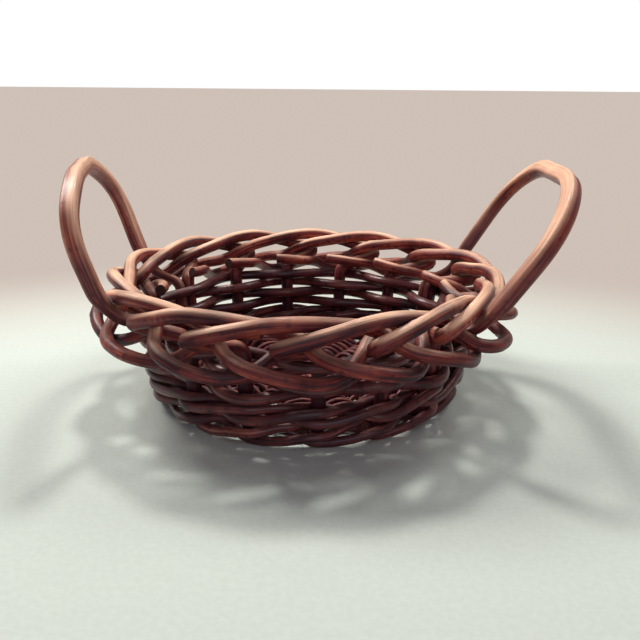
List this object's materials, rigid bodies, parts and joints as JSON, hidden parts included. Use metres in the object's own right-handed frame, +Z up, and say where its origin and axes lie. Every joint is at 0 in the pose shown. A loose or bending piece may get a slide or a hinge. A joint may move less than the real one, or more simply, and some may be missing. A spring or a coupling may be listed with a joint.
{
  "type": "basket",
  "caption": "Round wicker basket with a woven base and wall, a wide looping open border of thick rods, and a bent square wooden handle leaning out at each side",
  "frame": {"origin": "centre of the base on the ground it rests on", "axes": "+X towards the taller-leaning handle, +Z up out of the open mouth, +Y completes the right-handed frame"},
  "size_m": [0.3997, 0.3495, 0.1931],
  "materials": {
    "stakes": "stained and worn satin",
    "weave": "stained satin",
    "base": "stained satin",
    "handles": "varnished satin"
  },
  "bodies": {
    "root": {"border_stake_01": "stakes", "border_stake_02": "stakes", "border_stake_03": "stakes", "border_stake_04": "stakes", "border_stake_05": "stakes", "border_stake_06": "stakes", "border_stake_07": "stakes", "border_stake_08": "stakes", "border_stake_09": "stakes", "border_stake_10": "stakes", "border_stake_11": "stakes", "border_stake_12": "stakes", "border_stake_13": "stakes", "border_stake_14": "stakes", "border_stake_15": "stakes", "base_stick_01": "base", "base_stick_02": "base", "base_stick_03": "base", "base_stick_04": "base", "base_stick_05": "base", "base_stick_06": "base", "base_stick_07": "base", "base_half_stick": "base", "base_weaver_01": "base", "base_weaver_02": "base", "base_weaver_03": "base", "base_weaver_04": "base", "base_weaver_05": "base", "wale_rod_1": "weave", "wale_rod_2": "weave", "wale_rod_3": "weave", "wale_rod_4": "weave", "wale_rod_5": "weave", "wale_rod_6": "weave", "side_weaver_01": "weave", "side_weaver_02": "weave", "side_weaver_03": "weave", "side_weaver_04": "weave", "right_handle": "handles", "left_handle": "handles"}
  },
  "joints": []
}
